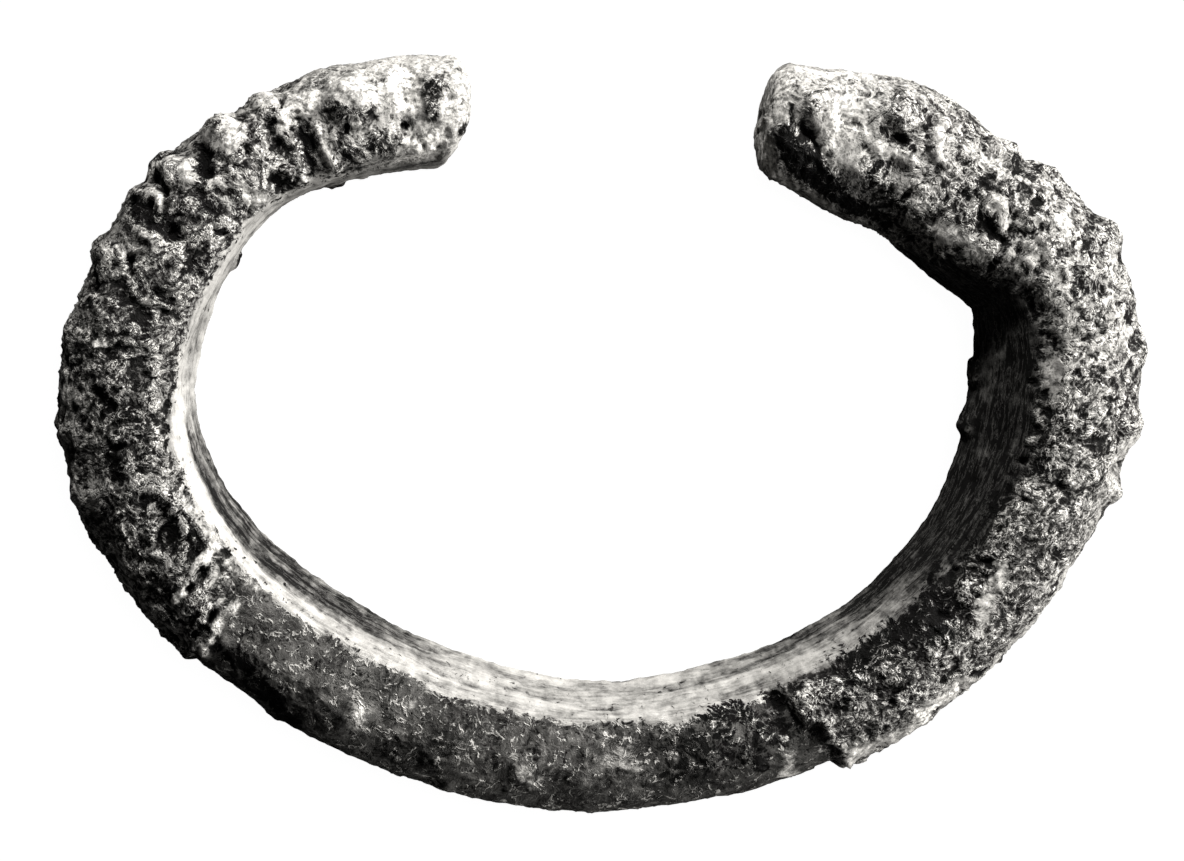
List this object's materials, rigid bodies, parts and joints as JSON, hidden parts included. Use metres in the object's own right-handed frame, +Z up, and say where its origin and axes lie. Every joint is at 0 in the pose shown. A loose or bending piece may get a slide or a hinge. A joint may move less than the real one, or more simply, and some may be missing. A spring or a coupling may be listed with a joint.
{
  "type": "bracelet",
  "caption": "Heavy open bracelet: one forged iron bar bent into an oval hoop with worn animal-head ends facing across a gap, deeply rusted.",
  "frame": {"origin": "centre of the bracelet's bounding box, on the surface it lies on", "axes": "+X across the hoop's long way, from the left head's side to the right head's side; +Y from the closed front of the hoop towards the gap between the heads; +Z up, out of the plane of the hoop"},
  "size_m": [0.0872, 0.0602, 0.011],
  "materials": {
    "rusted_iron": "deeply rusted forged iron: a dark flaking crust with pale worn edges, and a smoother streaked inner face"
  },
  "bodies": {
    "root": {"bracelet": "rusted_iron"}
  },
  "joints": []
}
